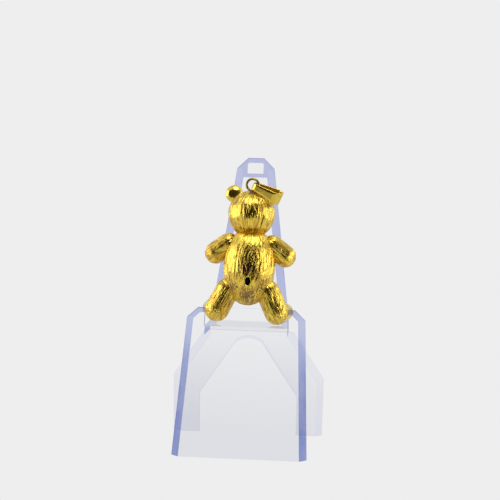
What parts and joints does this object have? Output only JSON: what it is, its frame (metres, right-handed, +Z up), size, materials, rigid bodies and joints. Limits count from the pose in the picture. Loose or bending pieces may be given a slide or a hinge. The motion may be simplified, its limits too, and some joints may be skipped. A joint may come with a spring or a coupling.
{
  "type": "teddy bear pendant on display stand",
  "caption": "Gold-coloured teddy bear pendant with wire loop and swinging bail, set on a clear chair-shaped stand with horns, seat, tall upright and arched rear leg.",
  "frame": {"origin": "on the table, at the middle of the object's bounding box", "axes": "+Z up, +X to the right seen from the front of the stand, +Y from the stand's front panel to its rear leg; the bear faces +Y"},
  "size_m": [0.0262, 0.0242, 0.0484],
  "materials": {
    "engraved_gold": "polished gold engraved with fine fur strokes",
    "polished_gold": "smooth polished gold",
    "clear_sheet": "clear acrylic with bevelled edges that show violet-blue"
  },
  "bodies": {
    "stand": {"stand_front_sheet": "clear_sheet", "stand_rear_leg": "clear_sheet"},
    "bear": {"head_back_shell": "engraved_gold", "head_front_shell": "engraved_gold", "muzzle": "engraved_gold", "nose_bead": "polished_gold", "eye_beads": "polished_gold", "left_ear": "polished_gold", "right_ear": "polished_gold", "torso_back_shell": "engraved_gold", "torso_front_shell": "engraved_gold", "left_arm": "engraved_gold", "right_arm": "engraved_gold", "left_leg": "engraved_gold", "right_leg": "engraved_gold", "hanging_loop": "polished_gold"},
    "bail": {"bail": "polished_gold"}
  },
  "joints": [
    {"name": "bear_lift", "type": "slide", "parent": "stand", "child": "bear", "axis": [0, 0, 1], "range_m": [0, 0.035]},
    {"name": "bail_swing", "type": "hinge", "parent": "bear", "child": "bail", "pos_m": [0.00012, 0.00125, 0.04337], "axis": [-0.0029, 0.9903, -0.1391], "range_deg": [-204, 0]}
  ]
}
